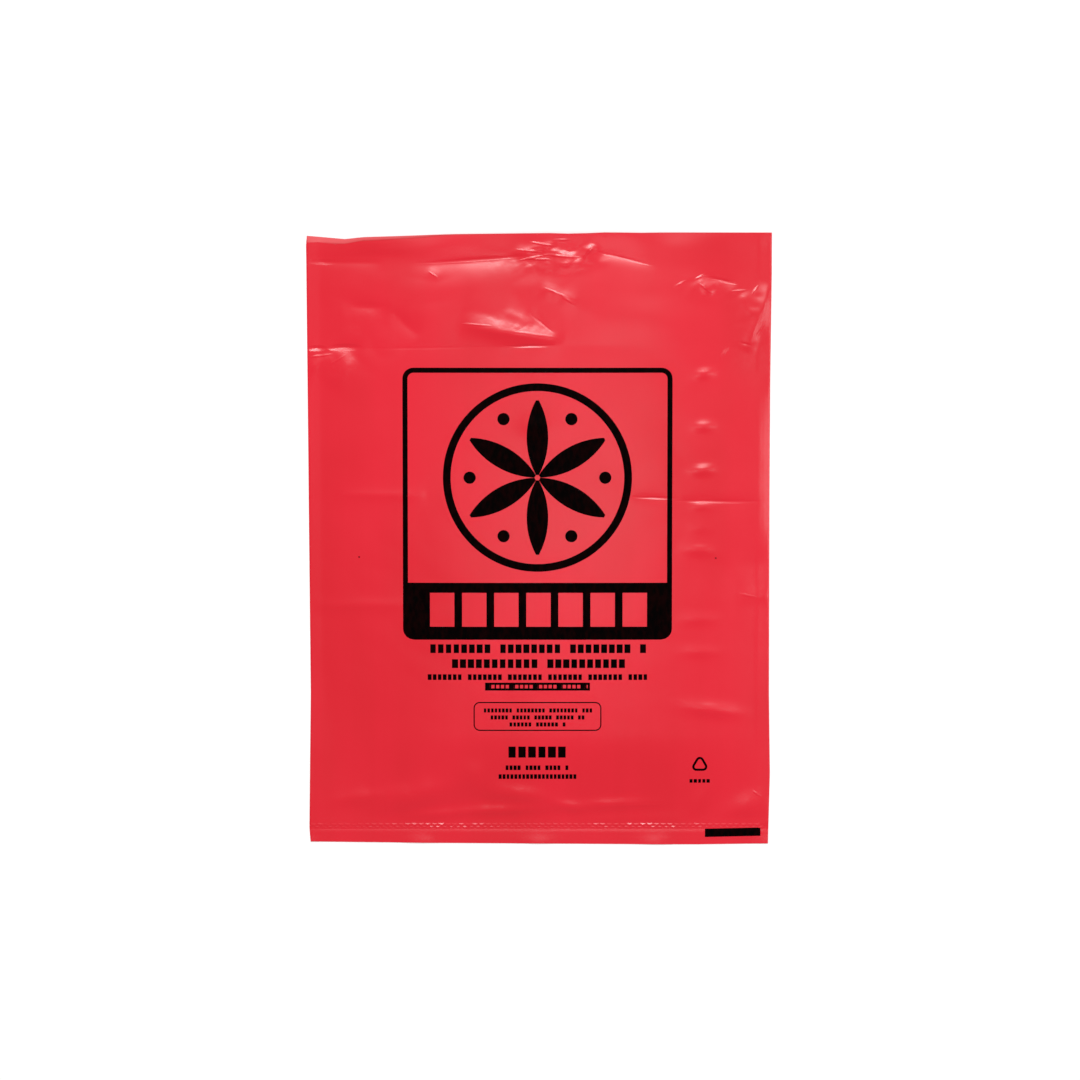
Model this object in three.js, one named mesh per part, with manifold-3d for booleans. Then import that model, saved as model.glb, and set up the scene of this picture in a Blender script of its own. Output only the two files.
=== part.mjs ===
// A waste bag of red polyethylene film, empty and lying on its back: one blown tube of film, flattened, with a
// heat seal across its lower end and an open mouth at its upper end. X runs across the bag, Y from the cut lower
// edge to the mouth, and Z up from the surface that it lies on. The origin is under the middle of the bag.
import * as THREE from "three";
import Module from "manifold-3d";
import { mergeVertices } from "three/addons/utils/BufferGeometryUtils.js";

// Driving dimensions, in millimetres
const BAG_WIDTH = 450; // across the flattened tube, from side fold to side fold
const BAG_LENGTH = 600; // from the cut lower edge to the mouth
const FILM_WALL = 0.06; // gauge of the film
const LAY_FLAT_GAP = 0.3; // between the two layers where they lie on each other

// The heat seal, and the skirt of two loose layers that the cutter leaves below it
const SKIRT_LENGTH = 14; // from the cut lower edge to the seal
const SEAL_BAND = 5.5; // height of the fused band
const SEAL_STEP = 0.8; // ramp from the loose layers down to the fused band

// The air between the layers, which lifts the front layer off the back one
const LOFT = 8; // height of the air along the middle of the bag
const SIDE_CREASE = 12; // flat strip along each side fold
const SIDE_FULLNESS = 3; // power of the arch between the flat strips: the higher, the flatter its middle
const SEAL_RISE = 90; // from the seal to the full height

// The mouth: the front layer sinks a little on its way to the edge, and a soft ridge runs across it there
const MOUTH_LOFT = 6.5; // height of the air at the edge
const SHOULDER_INSET = 55; // from the edge down to where the front layer starts to sink
const SHOULDER_RUN = 50; // from there to the height at the edge
const RIDGE_INSET = 29; // from the edge down to the ridge
const RIDGE_RISE = 3; // height of the ridge over the front layer
const RIDGE_REACH = 16; // from the ridge's crest to its foot, on either side
const LIP_SETBACK = 6; // how far the front layer stops short of the back one at the left corner
const LIP_RUN = 95; // length of the stretch that stops short

const CUT_PAST = 1; // how far a cut runs past the film's edges

// How finely the curved front layer is faceted
const ARCH_STEPS = 20;
const SEAL_STEPS = 7;
const BODY_STEPS = 8;
const RIDGE_STEPS = 4;
const LIP_STEPS = 8;
const SKIRT_STEPS = 2;

const FILM_RED = 0xe6303f;

const sideFold = BAG_WIDTH / 2;
const stripEdge = sideFold - SIDE_CREASE;
const mouth = BAG_LENGTH / 2;
const lowerEdge = -BAG_LENGTH / 2;
const sealLower = lowerEdge + SKIRT_LENGTH;
const sealUpper = sealLower + SEAL_BAND;
const ridge = mouth - RIDGE_INSET;
const shoulder = mouth - SHOULDER_INSET;

const wasm = await Module();
wasm.setup();

// 0 before the start, 1 after the run, and a smooth climb between them.
function climb(distance, run) {
  return THREE.MathUtils.smoothstep(distance, 0, run);
}

// How far the side folds let the front layer rise: nothing on the flat strips, and all of it in the middle.
function freeOfSides(x) {
  return 1 - Math.min(Math.abs(x) / stripEdge, 1) ** SIDE_FULLNESS;
}

// Height of the gap between the two layers.
function gap(x, y) {
  const inBand = Math.min(y - sealLower, sealUpper - y);
  const layFlat = LAY_FLAT_GAP * (1 - THREE.MathUtils.clamp(inBand / SEAL_STEP, 0, 1));
  const droop = (LOFT - MOUTH_LOFT) * climb(y - shoulder, SHOULDER_RUN);
  const crest = RIDGE_RISE * (1 - climb(Math.abs(y - ridge), RIDGE_REACH));
  return layFlat + freeOfSides(x) * (LOFT * climb(y - sealUpper, SEAL_RISE) - droop + crest);
}

const outerTop = (x, y) => 2 * FILM_WALL + gap(x, y);
const innerTop = (x, y) => FILM_WALL + gap(x, y);

// Evenly spaced places from one place to another, without the last one.
function places(from, to, steps) {
  return Array.from({ length: steps }, (_, i) => THREE.MathUtils.lerp(from, to, i / steps));
}

// Columns of the film's grid between the flat strips, from left to right
const columns = [...places(-stripEdge, stripEdge, ARCH_STEPS), stripEdge];

// Rows of the tube above the seal, of the fused band and of the skirt below it
const tubeRows = [
  ...places(sealUpper, sealUpper + SEAL_RISE, SEAL_STEPS),
  ...places(sealUpper + SEAL_RISE, ridge - RIDGE_REACH, BODY_STEPS),
  ...places(ridge - RIDGE_REACH, ridge, RIDGE_STEPS),
  ...places(ridge, mouth, LIP_STEPS),
];
const bandRows = [sealLower, sealLower + SEAL_STEP, sealUpper - SEAL_STEP];
const skirtRows = places(lowerEdge, sealLower, SKIRT_STEPS);

// The closed solid between two heights, on a grid of columns and rows.
function slab(xs, ys, underside, top) {
  const geometry = new THREE.BoxGeometry(1, 1, 1, xs.length - 1, ys.length - 1, 1);
  const position = geometry.getAttribute("position");
  for (let i = 0; i < position.count; i++) {
    const x = xs[Math.round((position.getX(i) + 0.5) * (xs.length - 1))];
    const y = ys[Math.round((position.getY(i) + 0.5) * (ys.length - 1))];
    const height = position.getZ(i) > 0 ? top : underside;
    position.setXYZ(i, x, y, height(x, y));
  }
  return solidOf(geometry);
}

// A closed geometry as a solid that can be cut.
function solidOf(geometry) {
  const bare = new THREE.BufferGeometry();
  bare.setAttribute("position", geometry.getAttribute("position"));
  bare.setIndex(geometry.index);
  const merged = mergeVertices(bare);
  const triVerts = new Uint32Array(merged.index.array);
  const vertProperties = merged.getAttribute("position").array;
  return new wasm.Manifold(new wasm.Mesh({ numProp: 3, vertProperties, triVerts }));
}

// A solid's faces as a geometry for a mesh.
function geometryOf(solid) {
  const { vertProperties, triVerts } = solid.getMesh();
  const geometry = new THREE.BufferGeometry();
  geometry.setAttribute("position", new THREE.BufferAttribute(vertProperties, 3));
  geometry.setIndex(new THREE.BufferAttribute(triVerts, 1));
  geometry.computeVertexNormals();
  return geometry;
}

// The flattened tube as a solid, folds and all.
function tube() {
  const rows = [...skirtRows, ...bandRows, ...tubeRows, mouth];
  return slab([-sideFold, ...columns, sideFold], rows, () => 0, outerTop);
}

// The space between the layers over some rows, from inside one side fold to inside the other.
function inside(rows) {
  const fold = sideFold - FILM_WALL;
  return slab([-fold, ...columns, fold], rows, () => FILM_WALL, innerTop);
}

// The sliver above the back layer that the front layer stops short of at the left corner of the mouth.
function lipCut() {
  const outline = new THREE.Shape([
    new THREE.Vector2(-sideFold - CUT_PAST, mouth - LIP_SETBACK),
    new THREE.Vector2(-sideFold + LIP_RUN, mouth + CUT_PAST),
    new THREE.Vector2(-sideFold - CUT_PAST, mouth + CUT_PAST),
  ]);
  const depth = LOFT + RIDGE_RISE;
  const geometry = new THREE.ExtrudeGeometry(outline, { depth, bevelEnabled: false });
  return solidOf(geometry.translate(0, 0, FILM_WALL + LAY_FLAT_GAP / 2));
}

const pocketRows = [...tubeRows, mouth, mouth + CUT_PAST];
const skirtSlitRows = [lowerEdge - CUT_PAST, ...skirtRows, sealLower];
const film = tube().subtract(inside(pocketRows)).subtract(inside(skirtSlitRows)).subtract(lipCut());

const material = new THREE.MeshStandardMaterial({ color: FILM_RED, roughness: 0.32, metalness: 0 });
const bagFilm = new THREE.Mesh(geometryOf(film), material);
bagFilm.name = "bag_film";

const bag = new THREE.Group();
bag.add(bagFilm);
export default bag;
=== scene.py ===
import logging
import math
from dataclasses import dataclass
from enum import Enum

import bpy
import numpy as np
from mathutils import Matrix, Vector


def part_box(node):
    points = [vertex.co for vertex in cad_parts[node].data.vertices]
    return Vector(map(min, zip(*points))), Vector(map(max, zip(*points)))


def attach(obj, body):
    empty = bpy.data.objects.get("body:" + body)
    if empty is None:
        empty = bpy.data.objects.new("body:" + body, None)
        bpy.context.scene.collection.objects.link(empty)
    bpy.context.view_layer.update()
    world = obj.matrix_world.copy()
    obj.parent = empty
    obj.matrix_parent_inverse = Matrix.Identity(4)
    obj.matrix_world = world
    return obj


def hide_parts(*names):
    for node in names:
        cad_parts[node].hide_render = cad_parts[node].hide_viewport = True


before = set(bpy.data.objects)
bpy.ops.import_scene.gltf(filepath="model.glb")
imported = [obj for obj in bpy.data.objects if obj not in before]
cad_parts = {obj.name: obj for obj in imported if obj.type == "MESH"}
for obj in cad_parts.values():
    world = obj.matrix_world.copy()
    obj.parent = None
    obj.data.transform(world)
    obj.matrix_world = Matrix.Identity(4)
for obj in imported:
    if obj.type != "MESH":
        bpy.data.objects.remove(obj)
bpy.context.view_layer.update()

MM = 0.001
BODY = "root"
log = logging.getLogger("waste_bag")


class Slot(Enum):
    """The record's material slots."""

    FILM = "red_film"
    INK = "black_ink"


class Peak(Enum):
    """How a peak falls from its middle to its rim: straight, as a cone, or softly, as a dome."""

    CONE = "SPHERICAL"
    DOME = "QUADRATIC_SPHERE"


def climb(distance: np.ndarray, run: float) -> np.ndarray:
    """Climb smoothly from 0 at the start to 1 at the end of a run.

    Args:
        distance: how far each point is past the start.
        run: length of the climb.

    Returns:
        The height of each point, from 0 to 1.
    """
    t = np.clip(distance / run, 0.0, 1.0)
    return t * t * (3.0 - 2.0 * t)


# Node trees


class NodeTree:
    """A node tree that is filled by one method."""

    def __init__(self, tree: bpy.types.NodeTree) -> None:
        """Keep the tree and empty it."""
        self.tree = tree
        self.tree.nodes.clear()

    def add(self, kind: str, settings: dict | None = None, inputs: dict | None = None) -> bpy.types.Node:
        """Add a node, set it up and feed its sockets.

        Args:
            kind: the node's type.
            settings: the node's own settings, such as a Math node's operation or a ramp's stops.
            inputs: the value, the socket or the shade for each input, by name or by number.

        Returns:
            The new node.
        """
        node = self.tree.nodes.new(kind)
        for key, value in (settings or {}).items():
            if key == "stops":
                self._stops(node.color_ramp, value)
            else:
                setattr(node, key, value)
        for key, value in (inputs or {}).items():
            source = getattr(value, "socket", value)
            if isinstance(source, bpy.types.NodeSocket):
                self.tree.links.new(source, node.inputs[key])
            else:
                node.inputs[key].default_value = source
        return node

    @staticmethod
    def _stops(ramp: bpy.types.ColorRamp, stops: tuple) -> None:
        """Put a ramp's stops in place.

        Args:
            ramp: the ramp.
            stops: the position and the colour of each stop.
        """
        while len(ramp.elements) < len(stops):
            ramp.elements.new(0.5)
        for element, (position, colour) in zip(ramp.elements, stops):
            element.position = position
            element.color = colour


class Shade:
    """A shader value that takes part in Python arithmetic."""

    def __init__(self, tree: NodeTree, socket: bpy.types.NodeSocket) -> None:
        """Wrap a socket of a tree."""
        self.tree = tree
        self.socket = socket

    def _math(self, operation: str, first: object, second: object) -> "Shade":
        """Add a Math node for two values."""
        node = self.tree.add("ShaderNodeMath", {"operation": operation}, {0: first, 1: second})
        return Shade(self.tree, node.outputs[0])

    def __add__(self, other: object) -> "Shade":
        """Add a value."""
        return self._math("ADD", self, other)

    __radd__ = __add__

    def __mul__(self, other: object) -> "Shade":
        """Multiply by a value."""
        return self._math("MULTIPLY", self, other)

    __rmul__ = __mul__


class SurfaceTree(NodeTree):
    """A material's node tree, with the patterns that the finishes share."""

    def __init__(self, material: bpy.types.Material) -> None:
        """Start from the material's object coordinates.

        Args:
            material: the material, whose own nodes are removed.
        """
        material.use_nodes = True
        super().__init__(material.node_tree)
        self.place = self.add("ShaderNodeTexCoord").outputs["Object"]

    def peak(self, middle: tuple, reach: tuple, turn: float, shape: Peak) -> Shade:
        """Make a peak that falls from 1 in the middle of an oval to 0 at its rim.

        Args:
            middle: the oval's middle on the bag, in millimetres.
            reach: how far the oval reaches along and across its own direction, in millimetres.
            turn: the angle of that direction from X, in radians.
            shape: how the peak falls.

        Returns:
            The peak, from 0 to 1.
        """
        inputs = {
            "Vector": self.place,
            "Location": (middle[0] * MM, middle[1] * MM, 0.0),
            "Rotation": (0.0, 0.0, turn),
            "Scale": (reach[0] * MM, reach[1] * MM, 1.0),
        }
        own = self.add("ShaderNodeMapping", {"vector_type": "TEXTURE"}, inputs).outputs["Vector"]
        gradient = self.add("ShaderNodeTexGradient", {"gradient_type": shape.value}, {"Vector": own})
        return Shade(self, gradient.outputs["Fac"])

    def stretched(self, scale: tuple[float, float, float]) -> bpy.types.NodeSocket:
        """Give the coordinates, stretched along each axis."""
        mapping = self.add("ShaderNodeMapping", {}, {"Vector": self.place, "Scale": scale})
        return mapping.outputs["Vector"]

    def noise(self, scale: tuple[float, float, float], detail: float) -> Shade:
        """Make a soft noise.

        Args:
            scale: cells in each metre along X, Y and Z.
            detail: how many finer layers lie on the first.

        Returns:
            The noise, from 0 to 1.
        """
        inputs = {"Vector": self.stretched(scale), "Scale": 1.0, "Detail": detail}
        return Shade(self, self.add("ShaderNodeTexNoise", {}, inputs).outputs["Fac"])

    def mix(self, share: Shade, first: object, second: object) -> bpy.types.NodeSocket:
        """Blend two colours by a share."""
        node = self.add("ShaderNodeMix", {"data_type": "RGBA"}, {0: share, 6: first, 7: second})
        return node.outputs[2]

    def ramp(self, value: Shade, low: float, high: float) -> Shade:
        """Stretch a value so that low becomes 0 and high becomes 1, smoothly and with clean ends.

        Args:
            value: the value.
            low: what becomes 0.
            high: what becomes 1.

        Returns:
            The stretched value.
        """
        settings = {"interpolation_type": "SMOOTHSTEP"}
        node = self.add("ShaderNodeMapRange", settings, {"Value": value, "From Min": low, "From Max": high})
        return Shade(self, node.outputs["Result"])

    def bump(self, height: Shade) -> bpy.types.NodeSocket:
        """Turn a height in metres into a normal."""
        node = self.add("ShaderNodeBump", {}, {"Height": height, "Strength": 1.0, "Distance": 1.0})
        return node.outputs["Normal"]

    def surface(self, varying: dict, constant: dict) -> None:
        """Finish the tree with a Principled shader."""
        shader = self.add("ShaderNodeBsdfPrincipled", {}, {**constant, **varying})
        self.add("ShaderNodeOutputMaterial", {}, {"Surface": shader.outputs["BSDF"]})


# Finishes


def opaque(red: float, green: float, blue: float) -> tuple[float, float, float, float]:
    """Give a colour its full alpha."""
    return (red, green, blue, 1.0)


@dataclass(frozen=True)
class FilmBump:
    """The film's finest relief: the die's lines, soft waves, crumpled facets and crisp wrinkles.

    The patterns' scales are in cells for each metre, their heights are in millimetres, and the facets are
    bent by the warp, which is in metres.
    """

    die_lines: tuple = (420.0, 5.0, 20.0)
    die_height: float = 0.004
    waves: tuple = (24.0, 32.0, 30.0)
    wave_height: float = 0.22
    facets: tuple = ((62.0, 1.0), (120.0, 0.35))
    warp: float = 0.004

    def height(self, tree: SurfaceTree) -> Shade:
        """Work out the relief in a material's tree.

        Args:
            tree: the material's tree.

        Returns:
            The height, in metres.
        """
        height = tree.noise(self.die_lines, detail=1.0) * self.die_height
        height = height + tree.noise(self.waves, detail=1.0) * self.wave_height
        crumpled = CRUMPLED[0].shade(tree)
        for oval in CRUMPLED[1:]:
            crumpled = crumpled + oval.shade(tree)
        for scale, tall in self.facets:
            height = height + self.facet(tree, scale) * crumpled * tall
        for wrinkle in FINE_WRINKLES:
            height = height + wrinkle.shade(tree)
        return height * MM

    def facet(self, tree: SurfaceTree, scale: float) -> Shade:
        """Work out one layer of facets, which meet in sharp valleys.

        Args:
            tree: the material's tree.
            scale: facets in each metre.

        Returns:
            The distance from the nearest valley.
        """
        noise = tree.add("ShaderNodeTexNoise", {}, {"Vector": tree.place, "Scale": scale, "Detail": 1.0})
        inputs = {0: noise.outputs["Color"], 1: (self.warp,) * 3, 2: tree.place}
        bent = tree.add("ShaderNodeVectorMath", {"operation": "MULTIPLY_ADD"}, inputs).outputs[0]
        inputs = {"Vector": bent, "Scale": scale}
        cells = tree.add("ShaderNodeTexVoronoi", {"feature": "DISTANCE_TO_EDGE"}, inputs)
        return Shade(tree, cells.outputs["Distance"])


@dataclass(frozen=True)
class FilmFinish:
    """Semi-gloss red film. Where a single layer shows, a paler red is painted in: painted see-through light,
    standing in for the pale surface below showing through it.
    """

    red: tuple = opaque(0.69, 0.0030, 0.020)
    deep_red: tuple = opaque(0.61, 0.0012, 0.012)
    # Painted see-through light: the paler red of a single layer lying over the pale floor
    see_through_red: tuple = opaque(0.72, 0.080, 0.090)
    gloss: float = 0.20
    scuffed: float = 0.26
    density: tuple = (7.0, 4.0, 7.0)
    density_range: tuple = (0.35, 0.65)
    density_share: float = 0.6
    streaks: tuple = (60.0, 1.5, 20.0)
    scuffs: tuple = (14.0, 14.0, 14.0)
    relief: FilmBump = FilmBump()

    def material(self) -> bpy.types.Material:
        """Build the material.

        Returns:
            The material.
        """
        material = bpy.data.materials.new(Slot.FILM.value)
        tree = SurfaceTree(material)
        density = tree.ramp(tree.noise(self.density, detail=3.0), *self.density_range)
        streak = tree.noise(self.streaks, detail=2.0)
        single = Shade(tree, tree.add("ShaderNodeAttribute", {"attribute_name": "single"}).outputs["Fac"])
        depth = density * self.density_share + streak * (1.0 - self.density_share)
        red = tree.mix(depth, self.deep_red, self.red)
        # Painted see-through light: a paler red where only the back layer lies over the pale floor
        colour = tree.mix(single, red, self.see_through_red)
        roughness = tree.noise(self.scuffs, detail=1.0) * (self.scuffed - self.gloss) + self.gloss
        normal = tree.bump(self.relief.height(tree))
        tree.surface({"Base Color": colour, "Roughness": roughness, "Normal": normal}, {"IOR": 1.5})
        return material


@dataclass(frozen=True)
class InkFinish:
    """Flexographic black ink: thin, nearly flat, and a little uneven where the film shows through."""

    black: tuple = opaque(0.0006, 0.0002, 0.0002)
    thin_black: tuple = opaque(0.0045, 0.0003, 0.0004)
    roughness: float = 0.38
    sheen_level: float = 0.01
    cover: tuple = (300.0, 120.0, 80.0)
    cover_range: tuple = (0.35, 0.7)
    relief: FilmBump = FilmBump()

    def material(self) -> bpy.types.Material:
        """Build the material.

        Returns:
            The material.
        """
        material = bpy.data.materials.new(Slot.INK.value)
        tree = SurfaceTree(material)
        cover = tree.ramp(tree.noise(self.cover, detail=3.0), *self.cover_range)
        colour = tree.mix(cover, self.black, self.thin_black)
        varying = {"Base Color": colour, "Normal": tree.bump(self.relief.height(tree))}
        constant = {"Roughness": self.roughness, "Specular IOR Level": self.sheen_level}
        tree.surface(varying, constant)
        return material


@dataclass(frozen=True)
class FloorFinish:
    """A plain pale studio floor."""

    white: tuple = opaque(0.93, 0.93, 0.93)
    roughness: float = 0.9

    def material(self) -> bpy.types.Material:
        """Build the material.

        Returns:
            The material.
        """
        material = bpy.data.materials.new("pale_floor")
        tree = SurfaceTree(material)
        tree.surface({}, {"Base Color": self.white, "Roughness": self.roughness, "Specular IOR Level": 0.0})
        return material


# The film's relief


@dataclass(frozen=True)
class Crease:
    """A fold mark or a ridge across the front layer. Every length is in millimetres."""

    start: tuple[float, float]
    end: tuple[float, float]
    height: float
    left: float
    right: float
    bow: float = 0.0
    crest: float = 1.2
    fade: float = 4.0

    def rise(self, x: np.ndarray, y: np.ndarray) -> np.ndarray:
        """Work out how far the crease lifts the film.

        Args:
            x: across the bag, in millimetres.
            y: along the bag, in millimetres.

        Returns:
            The lift at each point, in millimetres.
        """
        run = math.dist(self.start, self.end)
        ahead_x = (self.end[0] - self.start[0]) / run
        ahead_y = (self.end[1] - self.start[1]) / run
        from_x = x - self.start[0]
        from_y = y - self.start[1]
        t = 2.0 * (from_x * ahead_x + from_y * ahead_y) / run - 1.0
        arch = np.clip(1.0 - np.abs(t) ** self.fade, 0.0, 1.0)
        off = from_y * ahead_x - from_x * ahead_y - self.bow * (1.0 - np.minimum(t * t, 1.0))
        distance = np.sqrt(off**2 + self.crest**2) - self.crest
        reach = np.where(off > 0.0, self.left, self.right)
        return self.height * arch * np.exp(-distance / reach)


@dataclass(frozen=True)
class Wrinkle:
    """A crisp wrinkle, too narrow for the mesh. Every length is in millimetres."""

    start: tuple[float, float]
    end: tuple[float, float]
    height: float = 0.2
    reach: float = 1.5

    def shade(self, tree: SurfaceTree) -> Shade:
        """Work out the wrinkle's height in a material's tree.

        Args:
            tree: the material's tree.

        Returns:
            The height, in millimetres.
        """
        ahead = (self.end[0] - self.start[0], self.end[1] - self.start[1])
        middle = (self.start[0] + ahead[0] / 2.0, self.start[1] + ahead[1] / 2.0)
        reach = (math.hypot(*ahead) / 2.0, self.reach)
        return tree.peak(middle, reach, math.atan2(ahead[1], ahead[0]), Peak.CONE) * self.height


@dataclass(frozen=True)
class Swell:
    """A soft oval lift or hollow. Every length is in millimetres, and the turn is in degrees."""

    middle: tuple[float, float]
    across: float
    along: float
    height: float
    turn: float = 0.0

    def rise(self, x: np.ndarray, y: np.ndarray) -> np.ndarray:
        """Work out how far the swell lifts the film.

        Args:
            x: across the bag, in millimetres.
            y: along the bag, in millimetres.

        Returns:
            The lift at each point, in millimetres.
        """
        angle = math.radians(self.turn)
        from_x = x - self.middle[0]
        from_y = y - self.middle[1]
        u = (from_x * math.cos(angle) + from_y * math.sin(angle)) / self.across
        v = (from_y * math.cos(angle) - from_x * math.sin(angle)) / self.along
        return self.height * np.exp(-(u * u + v * v))

    def shade(self, tree: SurfaceTree) -> Shade:
        """Work out the swell's height in a material's tree.

        Args:
            tree: the material's tree.

        Returns:
            The height, in millimetres.
        """
        reach = (2.0 * self.across, 2.0 * self.along)
        return tree.peak(self.middle, reach, math.radians(self.turn), Peak.DOME) * self.height


@dataclass(frozen=True)
class Crumple:
    """A patch of random facets that meet in sharp valleys. Lengths are in millimetres."""

    middle: tuple[float, float]
    across: float
    along: float
    height: float
    facet: float
    seed: int
    waves: int = 7

    def rise(self, x: np.ndarray, y: np.ndarray) -> np.ndarray:
        """Work out how far the facets lift the film.

        Args:
            x: across the bag, in millimetres.
            y: along the bag, in millimetres.

        Returns:
            The lift at each point, in millimetres.
        """
        chance = np.random.default_rng(self.seed)
        total = np.zeros_like(x)
        for _ in range(self.waves):
            angle = chance.uniform(0.0, math.tau)
            number = math.tau / (self.facet * chance.uniform(0.8, 2.2))
            phase = chance.uniform(0.0, math.tau)
            total += np.sin(number * (x * math.cos(angle) + y * math.sin(angle)) + phase)
        facets = np.abs(total) / self.waves
        u = (x - self.middle[0]) / self.across
        v = (y - self.middle[1]) / self.along
        return self.height * facets * np.exp(-((u * u + v * v) ** 2))


# Fold marks from packing. They run across the bag, but for the last, the band along its right edge
FOLD_MARKS = (
    Crease((-205, 188), (-172, 189), -0.9, 4, 5, fade=2.0),
    Crease((-190, 187), (-20, 189), -0.25, 5, 6),
    Crease((-36, 189.5), (18, 190.5), -0.8, 3, 4, fade=2.0),
    Crease((10, 190), (180, 192), -0.2, 5, 6),
    Crease((90, 43), (138, 41), -0.6, 3, 4, fade=2.5),
    Crease((128, 39.5), (214, 38), -0.6, 3, 4, fade=3.0),
    Crease((-198, 45), (-110, 44.5), 0.8, 6, 4),
    Crease((-222, -64), (-118, -62), 1.0, 6, 5),
    Crease((194, -52), (232, -55), 0.8, 5, 8),
    Crease((213.5, -25), (213.5, 165), 1.6, 30, 8),
)

# Bends and wrinkles of the front layer near the mouth
MOUTH_WRINKLES = (
    Crease((-232, 273), (-150, 271), -0.5, 5, 7),
    Crease((-124, 269.5), (0, 278.5), -1.15, 4, 11, bow=-1, fade=2.2),
    Crease((46, 282.5), (114, 267), -0.65, 3, 4.5, bow=2, fade=2.5),
    Crease((-24, 280), (16, 291), 1.0, 4, 5),
    Crease((2, 284), (34, 277), 0.9, 4, 5),
    Crease((43, 275), (54, 289), 1.3, 4, 5),
    Crease((-108, 264), (-97, 256), 0.3, 3, 4),
    Crease((2, 247), (38, 233), 0.8, 5, 8),
    Crease((-190, 229), (-144, 227), -1.2, 5, 16, fade=2.0),
    Crease((-148, 227), (-116, 199), -1.5, 6, 18, fade=2.0),
    Crease((-76, 211), (24, 196), 2.15, 19, 7, bow=-1.5, fade=3.0),
    Crease((-34, 224), (-6, 212), 0.5, 6, 6),
    Crease((-10, 226), (16, 201), -0.8, 4, 10, fade=2.5),
    Crease((157, 258), (192, 250), -0.8, 2.5, 3.5, fade=2.0),
    Crease((153, 254), (168, 240), 0.8, 4, 5),
    Crease((201, 184), (225, 250), 2.0, 12, 7, fade=3.0),
    Crease((196, 240), (206, 218), 0.7, 6, 6),
    Crease((-229, 160), (-203, 181), 1.0, 6, 5, fade=2.0),
    Crease((-204, 150), (-178, 178), 1.4, 10, 8, fade=2.0),
)

# Soft rises and hollows of the front layer: ripples above each other beside the printed frame, lifts over the
# trapped air, and bulges along the seal
SWELLS = (
    Swell((160.5, 163), 9.5, 4.4, 1.1, 6),
    Swell((160, 112), 10, 4.8, 1.35),
    Swell((159.5, 69.5), 10.5, 4.8, 1.45, 3),
    Swell((158.5, 34), 10, 4, 0.7),
    Swell((158, 13), 10, 4, 0.5),
    Swell((157, -9), 13, 4.5, 1.1, -6),
    Swell((156, -77), 16, 5, 0.8),
    Swell((158, -109), 16, 5, 0.8),
    Swell((28, 271), 19, 7, 1.0, 4),
    Swell((-105, 287), 55, 11, 0.9),
    Swell((150, 286), 60, 14, 0.9),
    Swell((-24, 203), 28, 12, 1.0, -12),
    Swell((-3, 111), 14, 9, 1.0),
    Swell((168, -166), 22, 6, 1.6, -8),
    Swell((-175, -200), 45, 60, -1.6),
    Swell((-176, -253), 30, 7, 1.1, 8),
    Swell((-120, -251), 40, 13, 2.5, 15),
    Swell((-104, -272), 30, 5, 1.3, 4),
    Swell((-66, -232), 15, 14, 1.6, -30),
    Swell((-20, -250), 30, 9, 2.0, -8),
    Swell((-38, -266), 36, 5, 1.4, 2),
    Swell((28, -262), 16, 5, 1.1, -14),
    Swell((72, -260), 34, 5, 1.2, 2),
    Swell((62, -277), 26, 4, 1.0),
    Swell((112, -277), 30, 6, 1.0),
    Swell((158, -255), 8, 16, 0.9, -30),
    Swell((204, -262), 20, 12, 1.3, 24),
    Swell((110, 215), 60, 22, 1.2, -8),
)

# Crisp wrinkles of the front layer
FINE_WRINKLES = (
    Wrinkle((-227, 187.5), (-206, 188), -0.60, 3.0),
    Wrinkle((-207, 188), (-172, 189), -0.75, 3.6),
    Wrinkle((-176, 187.5), (-30, 189.5), -0.10, 1.8),
    Wrinkle((-34, 190), (16, 191), -0.55, 1.9),
    Wrinkle((86, 43.5), (136, 41.5), -0.30, 1.8),
    Wrinkle((126, 39.5), (222, 38), -0.26, 2.2),
    Wrinkle((-226, 272), (-196, 271), -0.24, 3.0),
    Wrinkle((-124, 270), (0, 278.5), -0.24, 2.0),
    Wrinkle((-20, 273), (4, 278), 0.44, 1.5),
    Wrinkle((-14, 275), (12, 274), 0.46, 1.5),
    Wrinkle((-24, 284), (4, 281), 0.30, 1.5),
    Wrinkle((-10, 291), (16, 287), 0.30, 1.5),
    Wrinkle((12, 293), (32, 293), 0.24, 1.5),
    Wrinkle((2, 279), (40, 276), 0.34, 1.6),
    Wrinkle((42, 275), (54, 289), 0.50, 1.6),
    Wrinkle((50, 283), (112, 268), -0.26, 2.0),
    Wrinkle((-108, 263), (-98, 256), 0.30, 1.4),
    Wrinkle((-76, 212), (-46, 210), 0.34, 1.5),
    Wrinkle((-30, 205), (20, 198), 0.12, 1.9),
    Wrinkle((-12, 224), (14, 203), -0.20, 1.8),
    Wrinkle((4, 247), (30, 236), 0.16, 1.7),
    Wrinkle((20, 239), (36, 230), 0.22, 1.7),
    Wrinkle((158, 258), (193, 250), -0.42, 2.2),
    Wrinkle((150, 254), (161, 260), 0.20, 1.5),
    Wrinkle((155, 251), (168, 241), 0.34, 1.6),
    Wrinkle((186, 243), (202, 244), 0.24, 1.5),
    Wrinkle((130, 247), (143, 254), 0.16, 1.6),
    Wrinkle((207, 192), (222, 232), 0.10, 1.8),
    Wrinkle((210, 197), (219, 212), -0.20, 1.6),
    Wrinkle((206, 239), (213, 249), 0.20, 1.6),
    Wrinkle((175, 178), (184, 189), 0.24, 1.7),
    Wrinkle((193, 194), (207, 190), -0.34, 1.7),
    Wrinkle((-224, 179), (-200, 182), 0.22, 1.5),
    Wrinkle((-206, 170), (-188, 182), 0.20, 1.7),
    Wrinkle((194, -52), (214, -56), 0.26, 1.6),
    Wrinkle((208, -246), (218, -253), 0.36, 1.5),
    Wrinkle((74, -262), (126, -260), 0.10, 1.8),
    Wrinkle((116, 92), (134, 89), 0.10, 1.8),
)

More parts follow.
